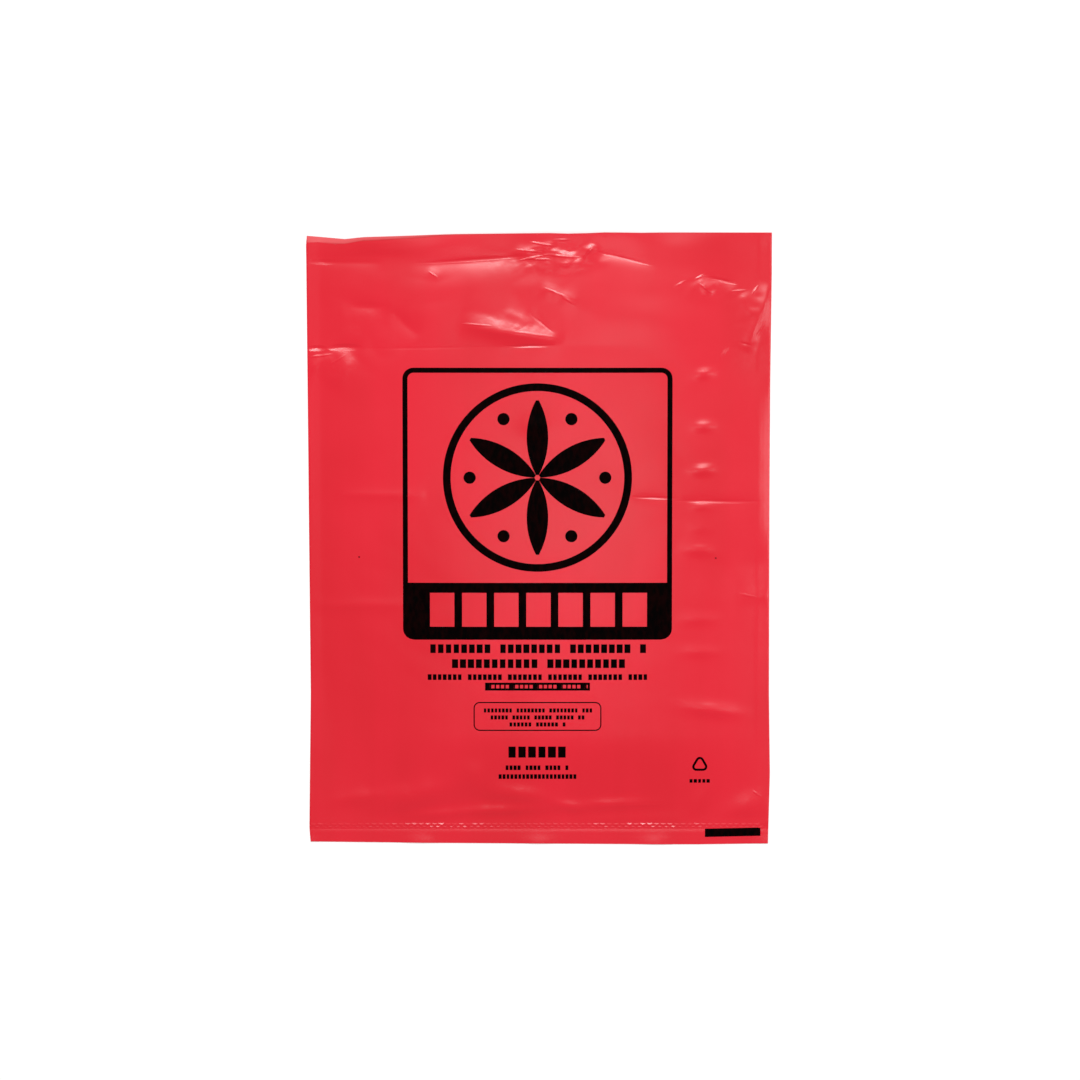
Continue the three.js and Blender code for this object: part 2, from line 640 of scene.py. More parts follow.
# Where the film is crumpled, as heights of the finest facets
CRUMPLED = (
    Swell((12, 277), 42, 12, 0.55, 8),
    Swell((20, 238), 30, 10, 0.30, -25),
    Swell((-20, 208), 50, 13, 0.30, -8),
    Swell((168, 248), 26, 11, 0.35, -8),
    Swell((208, 214), 14, 34, 0.16, -20),
    Swell((-170, 212), 40, 22, 0.20, -20),
    Swell((-195, 172), 34, 13, 0.35, -10),
    Swell((-60, -244), 150, 18, 0.12),
    Swell((215, 40), 9, 100, 0.14),
)

# Patches of larger facets, which are in the mesh
CRUMPLES = (
    Crumple((15, 276), 45, 13, 1.1, 14, 5),
    Crumple((168, 247), 30, 13, 0.5, 15, 8),
    Crumple((204, 216), 16, 34, 0.4, 18, 12),
    Crumple((-185, 200), 45, 50, 0.6, 34, 21),
    Crumple((-60, 232), 120, 34, 0.6, 36, 34),
    Crumple((-40, -246), 190, 26, 0.6, 30, 55),
    Crumple((150, 60), 70, 150, 0.4, 44, 89),
    Crumple((-150, -90), 90, 120, 0.4, 50, 144),
)

# How the film's edges wander from straight, as (place along the edge, offset) in millimetres
LEFT_WANDER = ((-300, 0.2), (-283, -0.9), (-150, 1.1), (0, 0.2), (120, -0.4), (290, -1.4), (300, -0.6))
RIGHT_WANDER = ((-300, -0.6), (-230, 1.0), (-150, -0.3), (50, -0.7), (150, -0.5), (260, 0.5), (300, 0.4))
MOUTH_WANDER = (
    (-225, -3.2),
    (-214, -3.4),
    (-199, -6.2),
    (-188, -6.4),
    (-175, -4.6),
    (-136, -3.4),
    (-87, -1.6),
    (0, -0.6),
    (22, -0.3),
    (29, -1.3),
    (36, -0.2),
    (50, -0.9),
    (58, 0.2),
    (98, -0.1),
    (103, -0.9),
    (109, 0),
    (225, 0),
)
LIP_SETBACK = ((-225, 6.6), (-175, 3.9), (-117, 2.4), (-87, 0.9), (-40, 0.4), (225, 0.3))
LOWER_WANDER = ((-225, 2.8), (-100, 1.4), (0, 0.8), (118, 0), (157, 0), (225, 0.9))


def wander(points: tuple, at: np.ndarray) -> np.ndarray:
    """Read an edge's offset between its points, in millimetres."""
    places, offsets = zip(*points)
    return np.interp(at, places, offsets)


@dataclass(frozen=True)
class FilmRelief:
    """The heights of the two layers over the floor, all in millimetres."""

    width: float
    length: float
    wall: float = 0.06
    seal_lower: float = 14.0
    seal_upper: float = 19.5
    seal_step: float = 1.0
    loft: float = 8.0
    lip_loft: float = 6.5
    shoulder: float = 55.0
    shoulder_run: float = 50.0
    side_crease: float = 12.0
    side_power: float = 3.0
    seal_rise: float = 90.0
    edge_reach: float = 5.0
    least_gap: float = 0.06
    sharpness: float = 6.0
    curl_run: float = 22.0
    curl: float = 0.9
    curl_waves: tuple = ((0.6, 31.0, 0.0), (0.4, 13.0, 1.0))
    skirt_least: float = 0.1
    skirt_lift: float = 0.8
    skirt_wave: float = 37.0
    skirt_phase: float = 1.63
    skirt_power: int = 10

    def from_lower_edge(self, y: np.ndarray) -> np.ndarray:
        """Measure how far each point is above the lower edge."""
        return y + self.length / 2.0

    def back(self, x: np.ndarray, y: np.ndarray) -> np.ndarray:
        """Give the height of the back layer's underside: flat, but for a slight curl at the mouth.

        Args:
            x: across the bag, in millimetres.
            y: along the bag, in millimetres.

        Returns:
            The height over the floor, in millimetres.
        """
        near_mouth = climb(y - (self.length / 2.0 - self.curl_run), self.curl_run)
        lift = np.full_like(x, self.curl)
        for height, reach, phase in self.curl_waves:
            lift += height * np.sin(x / reach + phase)
        return near_mouth * lift

    def gap(self, x: np.ndarray, y: np.ndarray) -> np.ndarray:
        """Give the height of the space between the two layers.

        Args:
            x: across the bag, in millimetres.
            y: along the bag, in millimetres.

        Returns:
            The height between the layers, in millimetres.
        """
        up = self.from_lower_edge(y)
        inward = self.width / 2.0 - np.abs(x)
        top = self.length / 2.0
        reach = self.width / 2.0 - self.side_crease
        free = 1.0 - np.clip(np.abs(x) / reach, 0.0, 1.0) ** self.side_power
        air = self.loft * climb(up - self.seal_upper, self.seal_rise)
        droop = (self.loft - self.lip_loft) * climb(y - (top - self.shoulder), self.shoulder_run)
        pillow = free * (air - droop)
        wrinkles = np.zeros_like(x)
        for feature in (*FOLD_MARKS, *MOUTH_WRINKLES, *SWELLS, *CRUMPLES):
            wrinkles += feature.rise(x, y)
        wrinkles *= climb(inward, self.edge_reach) * climb(up - self.seal_upper, 3.0 * self.edge_reach)
        loose = (pillow + wrinkles + self.skirt(x, up)) * self.sharpness
        open_film = self.least_gap + np.logaddexp(0.0, loose) / self.sharpness
        in_band = np.minimum(up - self.seal_lower, self.seal_upper - up)
        return open_film * (1.0 - np.clip(in_band / self.seal_step, 0.0, 1.0))

    def skirt(self, x: np.ndarray, up: np.ndarray) -> np.ndarray:
        """Lift the loose front layer of the skirt below the seal here and there.

        Args:
            x: across the bag, in millimetres.
            up: the height of each point above the lower edge, in millimetres.

        Returns:
            The lift at each point, in millimetres.
        """
        out = climb(self.seal_lower - up, self.seal_lower)
        wave = np.sin(x / self.skirt_wave + self.skirt_phase) ** self.skirt_power
        return out * (self.skirt_least + self.skirt_lift * wave)

    def front(self, x: np.ndarray, y: np.ndarray) -> np.ndarray:
        """Give the height of the front layer's outer face."""
        return self.back(x, y) + 2.0 * self.wall + self.gap(x, y)


# The film's shell


def stations(breaks: tuple, steps: tuple) -> np.ndarray:
    """Space out stations between breaks.

    Args:
        breaks: the places where the spacing changes.
        steps: the spacing between each pair of breaks.

    Returns:
        All the stations, in order.
    """
    places = []
    for low, high, step in zip(breaks[:-1], breaks[1:], steps):
        count = max(1, round((high - low) / step))
        places.extend(np.linspace(low, high, count, endpoint=False))
    places.append(breaks[-1])
    return np.array(places)


def mesh_object(
    name: str, vertices: np.ndarray, faces: list, material: bpy.types.Material
) -> bpy.types.Object:
    """Make a smooth mesh object at the origin.

    Args:
        name: the object's name.
        vertices: the places of the vertices, in metres.
        faces: the vertex numbers of each face.
        material: the object's material.

    Returns:
        The new object, linked to the scene.
    """
    mesh = bpy.data.meshes.new(name)
    mesh.from_pydata(np.asarray(vertices).tolist(), [], faces)
    mesh.polygons.foreach_set("use_smooth", np.ones(len(mesh.polygons), dtype=bool))
    mesh.materials.append(material)
    mesh.update()
    made = bpy.data.objects.new(name, mesh)
    bpy.context.scene.collection.objects.link(made)
    return made


class Shell:
    """A closed shell that is gathered one turn of vertices at a time."""

    def __init__(self, front: int, back: int) -> None:
        """Keep how many columns the front and the back layer have.

        Args:
            front: number of columns of the front layer.
            back: number of columns of the back layer.
        """
        self.front = front
        self.count = front + 2 + back
        self.turns = []
        self.faces = []

    def turn(self, vertices: np.ndarray) -> int:
        """Add a turn of vertices, and give the number of its first one."""
        self.turns.append(vertices)
        return (len(self.turns) - 1) * self.count

    def stitch(self, first: int, second: int) -> None:
        """Join two turns with a ring of faces.

        Args:
            first: the number of the first turn's first vertex.
            second: the number of the second turn's first vertex.
        """
        for i in range(self.count):
            after = (i + 1) % self.count
            self.faces.append((first + i, first + after, second + after, second + i))

    def close(self, first: int, facing_mouth: bool) -> None:
        """Fill the space between a turn's front and back layer.

        Args:
            first: the number of the turn's first vertex.
            facing_mouth: whether the faces look towards the mouth.
        """
        front = [first + i for i in range(1, self.front + 1)]
        back = [first + i for i in range(self.count - 1, self.front + 1, -1)]
        right = first + self.front + 1
        for triangle in zipped([first, *front, right], [first, *back, right]):
            self.faces.append(triangle if facing_mouth else triangle[::-1])


@dataclass(frozen=True)
class FilmBag:
    """The bag itself: one closed shell of thin film around the open pocket and the skirt's slit."""

    relief: FilmRelief
    finish: FilmFinish
    fold: float = 0.3
    back_columns: int = 26
    end_reach: float = 34.0
    side_reach: float = 40.0
    side_band: float = 12.0
    column_steps: tuple = (2.0, 2.65, 2.0)
    row_breaks: tuple = (-200.0, 25.0, 50.0, 175.0, 300.0)
    row_steps: tuple = (2.8, 0.5, 1.2, 0.5, 2.6, 3.3, 2.3, 3.1, 2.05)
    nearly: float = 1e-6
    single_edge: float = 1.0
    crisp_angle: float = 50.0

    def columns(self) -> np.ndarray:
        """Space out the front layer's columns, closer together by the side folds."""
        half = self.relief.width / 2.0 - self.fold
        return stations((-half, -half + self.side_band, half - self.side_band, half), self.column_steps)

    def rows(self) -> np.ndarray:
        """Space out the rows, closer together across the seal, the fold marks and the mouth.

        Returns:
            The places of the rows along the bag, in millimetres.
        """
        low = -self.relief.length / 2.0
        lower = low + self.relief.seal_lower
        upper = low + self.relief.seal_upper
        step = self.relief.seal_step
        breaks = (low, lower, lower + step, upper - step, upper, *self.row_breaks)
        return stations(breaks, self.row_steps)

    def loop(self, columns: np.ndarray, y: float, inner: bool) -> np.ndarray:
        """Place one turn of the film around the flattened tube.

        Args:
            columns: the front layer's columns.
            y: the row's place along the bag.
            inner: whether it is the film's inner face.

        Returns:
            The turn's vertices, in millimetres: left fold, front layer, right fold and back layer.
        """
        relief = self.relief
        half = relief.width / 2.0
        inset = relief.wall if inner else 0.0
        back_columns = np.linspace(columns[-1], columns[0], self.back_columns)
        x = np.concatenate(([-half + inset], columns, [half - inset], back_columns))
        ys = np.full_like(x, y)
        is_front = np.zeros(len(x), dtype=bool)
        is_front[1 : len(columns) + 1] = True
        front = relief.front(x, ys) - inset
        back = relief.back(x, ys) + inset
        z = np.where(is_front, front, back)
        for apex in (0, len(columns) + 1):
            z[apex] = (front[apex] + back[apex]) / 2.0
        return np.stack((self.wandered_x(x, y), self.wandered_y(x, y, is_front), z), axis=1)

    def wandered_x(self, x: np.ndarray, y: float) -> np.ndarray:
        """Move the columns by the side folds with the wander of the folds.

        Args:
            x: the columns, in millimetres.
            y: the row's place along the bag.

        Returns:
            The moved columns.
        """
        half = self.relief.width / 2.0
        near_left = climb(-x - half + self.side_reach, self.side_reach)
        near_right = climb(x - half + self.side_reach, self.side_reach)
        left = wander(LEFT_WANDER, np.array(y))
        right = wander(RIGHT_WANDER, np.array(y))
        return x + near_left * left + near_right * right

    def wandered_y(self, x: np.ndarray, y: float, is_front: np.ndarray) -> np.ndarray:
        """Move the rows by the cut ends with the wander of the cuts.

        Args:
            x: the columns, in millimetres.
            y: the row's place along the bag.
            is_front: which columns are on the front layer.

        Returns:
            The row's place at each column.
        """
        half = self.relief.length / 2.0
        near_mouth = climb(np.array(y - half + self.end_reach), self.end_reach)
        near_lower = climb(np.array(self.relief.seal_lower - half - y), self.relief.seal_lower)
        mouth = wander(MOUTH_WANDER, x) - wander(LIP_SETBACK, x) * is_front
        return y + near_mouth * mouth + near_lower * wander(LOWER_WANDER, x)

    def shell(self) -> tuple[np.ndarray, list]:
        """Join the turns of the film into one closed shell.

        Returns:
            The vertices in metres, and the faces.
        """
        columns = self.columns()
        rows = self.rows()
        low = -self.relief.length / 2.0
        shell = Shell(len(columns), self.back_columns)
        outer = [shell.turn(self.loop(columns, y, False)) for y in rows]
        above = [y for y in rows if y >= low + self.relief.seal_upper - self.nearly]
        below = [y for y in rows if y <= low + self.relief.seal_lower + self.nearly]
        pocket = [shell.turn(self.loop(columns, y, True)) for y in above]
        slit = [shell.turn(self.loop(columns, y, True)) for y in below]
        for first, second in zip(outer[:-1], outer[1:]):
            shell.stitch(first, second)
        for chain in (pocket, slit):
            for first, second in zip(chain[:-1], chain[1:]):
                shell.stitch(second, first)
        shell.stitch(outer[-1], pocket[-1])
        shell.stitch(slit[0], outer[0])
        shell.close(pocket[0], True)
        shell.close(slit[-1], False)
        return np.concatenate(shell.turns) * MM, shell.faces

    def build(self) -> bpy.types.Object:
        """Build the bag and mark where a single layer shows.

        Returns:
            The bag's object.
        """
        vertices, faces = self.shell()
        bag = mesh_object("film_bag", vertices, faces, self.finish.material())
        x = vertices[:, 0] / MM
        y = vertices[:, 1] / MM
        lip = self.relief.length / 2.0 + wander(MOUTH_WANDER, x) - wander(LIP_SETBACK, x)
        front_and_folds = len(self.columns()) + 2
        on_back = np.arange(len(vertices)) % (front_and_folds + self.back_columns) >= front_and_folds
        # Where the painted see-through light goes: the back layer's strip beyond the front layer's lip
        single = climb(y - lip + self.single_edge, 2.0 * self.single_edge) * on_back
        attribute = bag.data.attributes.new("single", "FLOAT", "POINT")
        attribute.data.foreach_set("value", single.astype(np.float32))
        bag.data.set_sharp_from_angle(angle=math.radians(self.crisp_angle))
        return bag


def zipped(first: list, second: list) -> list:
    """Join two chains of vertices that share their ends with triangles.

    Args:
        first: the vertex numbers of one chain.
        second: the vertex numbers of the other chain.

    Returns:
        The triangles between them.
    """
    triangles = []
    i = 0
    j = 0
    while i < len(first) - 1 or j < len(second) - 1:
        ahead = (i + 1) / (len(first) - 1) <= (j + 1) / (len(second) - 1)
        if j == len(second) - 1 or (ahead and i < len(first) - 1):
            triangle = (first[i], second[j], first[i + 1])
            i += 1
        else:
            triangle = (first[i], second[j], second[j + 1])
            j += 1
        if len(set(triangle)) == 3:
            triangles.append(triangle)
    return triangles


# Geometry Nodes that follow the film


class Blueprint(NodeTree):
    """A Geometry Nodes tree with named inputs, whose result lies on the film."""

    START_HEIGHT = 0.2
    LONGEST_DROP = 0.4

    def __init__(self, name: str, sizes: dict) -> None:
        """Make the tree and its inputs.

        Args:
            name: the tree's name.
            sizes: the socket type of each input, by its name.
        """
        super().__init__(bpy.data.node_groups.new(name, "GeometryNodeTree"))
        interface = self.tree.interface
        interface.new_socket("Geometry", in_out="INPUT", socket_type="NodeSocketGeometry")
        interface.new_socket("Film", in_out="INPUT", socket_type="NodeSocketObject")
        interface.new_socket("Lift", in_out="INPUT", socket_type="NodeSocketFloat")
        interface.new_socket("Finish", in_out="INPUT", socket_type="NodeSocketMaterial")
        for size, kind in sizes.items():
            interface.new_socket(size, in_out="INPUT", socket_type=kind)
        interface.new_socket("Geometry", in_out="OUTPUT", socket_type="NodeSocketGeometry")
        self.given = self.add("NodeGroupInput").outputs

    def math(self, operation: str, *values: object) -> bpy.types.NodeSocket:
        """Work out a number from one, two or three."""
        settings = {"operation": operation}
        return self.add("ShaderNodeMath", settings, dict(enumerate(values))).outputs[0]

    def vector(self, x: object, y: object, z: object) -> bpy.types.NodeSocket:
        """Put three numbers into a vector."""
        return self.add("ShaderNodeCombineXYZ", {}, {"X": x, "Y": y, "Z": z}).outputs["Vector"]

    def random(self, low: float, high: float, seed: object) -> bpy.types.NodeSocket:
        """Give each point a number between two."""
        node = self.add("FunctionNodeRandomValue", {"data_type": "FLOAT"}, {2: low, 3: high, "Seed": seed})
        return node.outputs[1]

    def laid(self, geometry: bpy.types.NodeSocket) -> bpy.types.NodeSocket:
        """Drop every point straight down onto the film, and lift it a little.

        Args:
            geometry: the geometry, whose own heights are kept above the film.

        Returns:
            The laid geometry.
        """
        film = self.add("GeometryNodeObjectInfo", {}, {"Object": self.given["Film"]}).outputs["Geometry"]
        place = self.add("GeometryNodeInputPosition").outputs["Position"]
        parts = self.add("ShaderNodeSeparateXYZ", {}, {"Vector": place}).outputs
        inputs = {
            "Target Geometry": film,
            "Source Position": self.vector(parts["X"], parts["Y"], self.START_HEIGHT),
            "Ray Direction": (0.0, 0.0, -1.0),
            "Ray Length": self.LONGEST_DROP,
        }
        hit = self.add("GeometryNodeRaycast", {}, inputs).outputs["Hit Position"]
        lifted = self.vector(0.0, 0.0, self.math("ADD", self.given["Lift"], parts["Z"]))
        place = self.add("ShaderNodeVectorMath", {"operation": "ADD"}, {0: hit, 1: lifted}).outputs[0]
        moved = self.add("GeometryNodeSetPosition", {}, {"Geometry": geometry, "Position": place})
        return moved.outputs["Geometry"]

    def finished(self, geometry: bpy.types.NodeSocket) -> None:
        """End the tree with real geometry and its material.

        Args:
            geometry: the tree's result.
        """
        real = self.add("GeometryNodeRealizeInstances", {}, {"Geometry": geometry}).outputs["Geometry"]
        inputs = {"Geometry": real, "Material": self.given["Finish"]}
        dressed = self.add("GeometryNodeSetMaterial", {}, inputs).outputs["Geometry"]
        self.add("NodeGroupOutput", {}, {"Geometry": dressed})


def lay_tree() -> Blueprint:
    """Make the tree that lays a flat print on the film.

    Returns:
        The tree.
    """
    tree = Blueprint("lay_print", {})
    tree.finished(tree.laid(tree.given["Geometry"]))
    return tree


def turned_tree() -> Blueprint:
    """Make the tree that repeats one petal around a middle and lays the petals on the film.

    Returns:
        The tree.
    """
    sizes = {"Copies": "NodeSocketInt", "Middle": "NodeSocketVector"}
    tree = Blueprint("turned_petals", sizes)
    inputs = {"Count": tree.given["Copies"], "Position": tree.given["Middle"]}
    points = tree.add("GeometryNodePoints", {}, inputs).outputs[0]
    number = tree.add("GeometryNodeInputIndex").outputs["Index"]
    turn = tree.math("DIVIDE", tree.math("MULTIPLY", number, math.tau), tree.given["Copies"])
    inputs = {"Points": points, "Instance": tree.given["Geometry"], "Rotation": tree.vector(0.0, 0.0, turn)}
    petals = tree.add("GeometryNodeInstanceOnPoints", {}, inputs).outputs["Instances"]
    real = tree.add("GeometryNodeRealizeInstances", {}, {"Geometry": petals}).outputs["Geometry"]
    tree.finished(tree.laid(real))
    return tree


# How much the blocks' gaps and the knurl's diamonds vary, as shares of their full size
BARE_SPREAD = (0.8, 1.3)
PRESSED_SPREAD = (0.4, 1.0)
FIRM_MEAN = 0.73
FIRM_SWING = 0.27


def row_tree() -> Blueprint:
    """Make the tree that prints a row of plain blocks, with a bare place between groups.

    Returns:
        The tree.
    """
    number = "NodeSocketFloat"
    sizes = {"Left": number, "Right": number, "Middle": number, "Tall": number, "Pitch": number}
    sizes.update({"Bare": number, "Group": "NodeSocketInt", "Seed": "NodeSocketInt"})
    tree = Blueprint("block_row", sizes)
    given = tree.given
    run = tree.math("SUBTRACT", given["Right"], given["Left"])
    count = tree.math("ROUND", tree.math("DIVIDE", run, given["Pitch"]))
    pitch = tree.math("DIVIDE", run, count)
    first = tree.math("MULTIPLY_ADD", pitch, 0.5, given["Left"])
    start = tree.vector(first, given["Middle"], 0.0)
    inputs = {"Count": count, "Start Location": start, "Offset": tree.vector(pitch, 0.0, 0.0)}
    line = tree.add("GeometryNodeMeshLine", {}, inputs).outputs["Mesh"]
    index = tree.add("GeometryNodeInputIndex").outputs["Index"]
    last = tree.math("SUBTRACT", given["Group"], 1.0)
    between = tree.math("COMPARE", tree.math("MODULO", index, given["Group"]), last, 0.1)
    line = tree.add("GeometryNodeDeleteGeometry", {}, {"Geometry": line, "Selection": between}).outputs[0]
    inputs = {"Size X": 1.0, "Size Y": 1.0, "Vertices X": 3, "Vertices Y": 4}
    block = tree.add("GeometryNodeMeshGrid", {}, inputs).outputs["Mesh"]
    bare = tree.math("MULTIPLY", given["Bare"], tree.random(*BARE_SPREAD, given["Seed"]))
    size = tree.vector(tree.math("SUBTRACT", pitch, bare), given["Tall"], 1.0)
    inputs = {"Points": line, "Instance": block, "Scale": size}
    blocks = tree.add("GeometryNodeInstanceOnPoints", {}, inputs).outputs["Instances"]
    real = tree.add("GeometryNodeRealizeInstances", {}, {"Geometry": blocks}).outputs["Geometry"]
    tree.finished(tree.laid(real))
    return tree


def knurl_tree() -> Blueprint:
    """Make the tree that puckers the film in two staggered rows along the heat seal.

    Returns:
        The tree.
    """
    number = "NodeSocketFloat"
    sizes = {"Left": number, "Right": number, "Middle": number, "Apart": number, "Pitch": number}
    sizes.update({"Across": number, "Along": number, "Tall": number, "Seed": "NodeSocketInt"})
    sizes.update({"Firmest": number, "Firm Every": number})
    tree = Blueprint("seal_knurl", sizes)
    given = tree.given
    run = tree.math("SUBTRACT", given["Right"], given["Left"])
    count = tree.math("FLOOR", tree.math("DIVIDE", run, given["Pitch"]))
    half = tree.math("MULTIPLY", given["Apart"], 0.5)
    lines = []
    for shift, side in ((0.25, "ADD"), (0.75, "SUBTRACT")):
        first = tree.math("MULTIPLY_ADD", given["Pitch"], shift, given["Left"])
        start = tree.vector(first, tree.math(side, given["Middle"], half), 0.0)
        offset = tree.vector(given["Pitch"], 0.0, 0.0)
        inputs = {"Count": count, "Start Location": start, "Offset": offset}
        lines.append(tree.add("GeometryNodeMeshLine", {}, inputs).outputs["Mesh"])
    joined = tree.add("GeometryNodeJoinGeometry")
    for line in lines:
        tree.tree.links.new(line, joined.inputs[0])
    points = tree.laid(joined.outputs[0])
    place = tree.add("GeometryNodeInputPosition").outputs["Position"]
    across = tree.add("ShaderNodeSeparateXYZ", {}, {"Vector": place}).outputs["X"]
    phase = tree.math("DIVIDE", tree.math("SUBTRACT", across, given["Firmest"]), given["Firm Every"])
    wave = tree.math("COSINE", tree.math("MULTIPLY", phase, math.tau))
    firm = tree.math("MULTIPLY_ADD", wave, FIRM_SWING, FIRM_MEAN)
    pressed = tree.math("MULTIPLY", tree.random(*PRESSED_SPREAD, given["Seed"]), firm)
    size = tree.vector(given["Across"], given["Along"], tree.math("MULTIPLY", given["Tall"], pressed))
    inputs = {"Vertices": 4, "Radius Top": 0.0, "Radius Bottom": math.sqrt(0.5), "Depth": 1.0}
    cone = tree.add("GeometryNodeMeshCone", {}, inputs).outputs["Mesh"]
    inputs = {"Geometry": cone, "Rotation": (0.0, 0.0, math.pi / 4.0)}
    pyramid = tree.add("GeometryNodeTransform", {}, inputs).outputs["Geometry"]
    inputs = {"Points": points, "Instance": pyramid, "Scale": size}
    tree.finished(tree.add("GeometryNodeInstanceOnPoints", {}, inputs).outputs["Instances"])
    return tree


def grown(tree: Blueprint, name: str, base: bpy.types.Object, values: dict) -> bpy.types.Object:
    """Run a tree on an object and keep its result as a plain mesh.

    Args:
        tree: the tree to run.
        name: the new object's name.
        base: the object that the tree starts from, which is removed.
        values: the value of each of the tree's inputs, by its name.

    Returns:
        The new object.
    """
    modifier = base.modifiers.new(name, "NODES")
    modifier.node_group = tree.tree
    for item in tree.tree.interface.items_tree:
        if item.name in values:
            modifier[item.identifier] = values[item.name]
    graph = bpy.context.evaluated_depsgraph_get()
    graph.update()
    mesh = bpy.data.meshes.new_from_object(base.evaluated_get(graph))
    base.modifiers.remove(modifier)
    bpy.data.objects.remove(base)
    mesh.name = name
    mesh.polygons.foreach_set("use_smooth", np.ones(len(mesh.polygons), dtype=bool))
    made = bpy.data.objects.new(name, mesh)
    bpy.context.scene.collection.objects.link(made)
    return made


def in_metres(lengths: dict) -> dict:
    """Turn lengths in millimetres into metres."""
    return {name: length * MM for name, length in lengths.items()}


def joined(name: str, parts: list, material: bpy.types.Material) -> bpy.types.Object:
    """Join objects into one piece of one material.

    Args:
        name: the piece's name.
        parts: the objects, which are removed.
        material: the piece's material.

    Returns:
        The joined object.
    """
    vertices = []
    faces = []
    for part in parts:
        shift = len(vertices)
        vertices.extend(vertex.co[:] for vertex in part.data.vertices)
        faces.extend(tuple(shift + i for i in polygon.vertices) for polygon in part.data.polygons)
    for part in parts:
        bpy.data.objects.remove(part)
    return mesh_object(name, np.array(vertices), faces, material)


# The print


def strip(first: np.ndarray, second: np.ndarray, steps: int, closed: bool = False) -> tuple[np.ndarray, list]:
    """Fill the space between two lines with faces that face up.

    Args:
        first: the points of the line on the left, seen in the direction of travel.
        second: the points of the line on the right.
        steps: how many faces lie between the lines.
        closed: whether each line ends where it starts.

    Returns:
        The vertices and the faces.
    """
    count = len(first)
    shares = np.linspace(0.0, 1.0, steps + 1)[:, None, None]
    grid = first[None] * (1.0 - shares) + second[None] * shares
    faces = []
    for row in range(steps):
        for i in range(count if closed else count - 1):
            after = (i + 1) % count
            a = row * count + i
            b = row * count + after
            faces.append((a, a + count, b + count, b))
    flat = grid.reshape(-1, 2)
    return np.column_stack((flat, np.zeros(len(flat)))), faces


def merged(patches: list) -> tuple[np.ndarray, list]:
    """Put several patches of vertices and faces into one.

    Args:
        patches: the vertices and the faces of each patch.

    Returns:
        All the vertices and all the faces.
    """
    vertices = []
    faces = []
    shift = 0
    for points, polygons in patches:
        vertices.append(points)
        faces.extend(tuple(shift + i for i in polygon) for polygon in polygons)
        shift += len(points)
    return np.concatenate(vertices), faces


# Points along each rounded corner of a printed line
CORNER_POINTS = 9


def rounded_line(corners: tuple, radius: float, offset: float, step: float, closed: bool) -> np.ndarray:
    """Follow a line with rounded corners, at an offset to its left.

    Args:
        corners: the line's corners, turning clockwise.
        radius: radius of the line at its corners.
        offset: distance to the left of the line.
        step: longest step between points on the straight stretches.
        closed: whether the last corner joins the first.

    Returns:
        The points of the offset line. Their number doesn't depend on the offset.
    """
    places = [Vector(corner) for corner in corners]
    count = len(places)
    knots = []
    for i, place in enumerate(places):
        if not closed and i in (0, count - 1):
            ahead = (places[1] - place) if i == 0 else (place - places[-2])
            side = Vector((-ahead.y, ahead.x)).normalized() * offset
            knots.append([place + side])
            continue
        before = (place - places[i - 1]).normalized()
        after = (places[(i + 1) % count] - place).normalized()
        angle = before.angle(after)
        back_off = radius * math.tan(angle / 2.0)
        middle = place - before * back_off - Vector((-before.y, before.x)) * radius
        start = math.atan2(before.x, -before.y)
        arc = []
        for share in np.linspace(0.0, 1.0, CORNER_POINTS):
            turn = start - angle * share
            arc.append(middle + Vector((math.cos(turn), math.sin(turn))) * (radius + offset))
        knots.append(arc)
    points = []
    for i, arc in enumerate(knots):
        points.extend(arc)
        if i == len(knots) - 1 and not closed:
            break
        target = knots[(i + 1) % len(knots)][0]
        base_run = (places[(i + 1) % count] - places[i]).length
        for share in np.linspace(0.0, 1.0, max(2, round(base_run / step)), endpoint=False)[1:]:
            points.append(arc[-1].lerp(target, share))
    return np.array([tuple(point) for point in points])


def outline(corners: tuple, radius: float, line: float, step: float, closed: bool) -> tuple[np.ndarray, list]:
    """Draw a printed line with rounded corners.

    Args:
        corners: the line's corners, turning clockwise.
        radius: radius of the line's middle at its corners.
        line: thickness of the line.
        step: longest step between points on the straight stretches.
        closed: whether the last corner joins the first.

    Returns:
        The vertices and the faces.
    """
    outer = rounded_line(corners, radius, line / 2.0, step, closed)
    inner = rounded_line(corners, radius, -line / 2.0, step, closed)
    return strip(outer, inner, 2, closed)


def rectangle(
    left: float, right: float, low: float, high: float, step: float = 3.0
) -> tuple[np.ndarray, list]:
    """Fill a plain rectangle with small faces.

    Args:
        left: its left side.
        right: its right side.
        low: its lower side.
        high: its upper side.
        step: the size of the faces.

    Returns:
        The vertices and the faces.
    """
    across = stations((left, right), (step,))
    first = np.column_stack((across, np.full_like(across, high)))
    second = np.column_stack((across, np.full_like(across, low)))
    return strip(first, second, max(1, round((high - low) / step)))


def disc(
    middle: tuple[float, float], radius: float, count: int, core: float = 0.45
) -> tuple[np.ndarray, list]:
    """Fill a small round dot.

    Args:
        middle: the dot's middle.
        radius: its radius.
        count: number of points on its rim.
        core: how large the one face in its middle is, as a share of its radius.

    Returns:
        The vertices and the faces.
    """
    turns = np.linspace(0.0, -math.tau, count, endpoint=False)
    rim = np.column_stack((np.cos(turns), np.sin(turns))) * radius
    patch, faces = strip(rim, rim * core, 1, True)
    faces.append(tuple(range(count, 2 * count))[::-1])
    return patch + np.array((*middle, 0.0)), faces


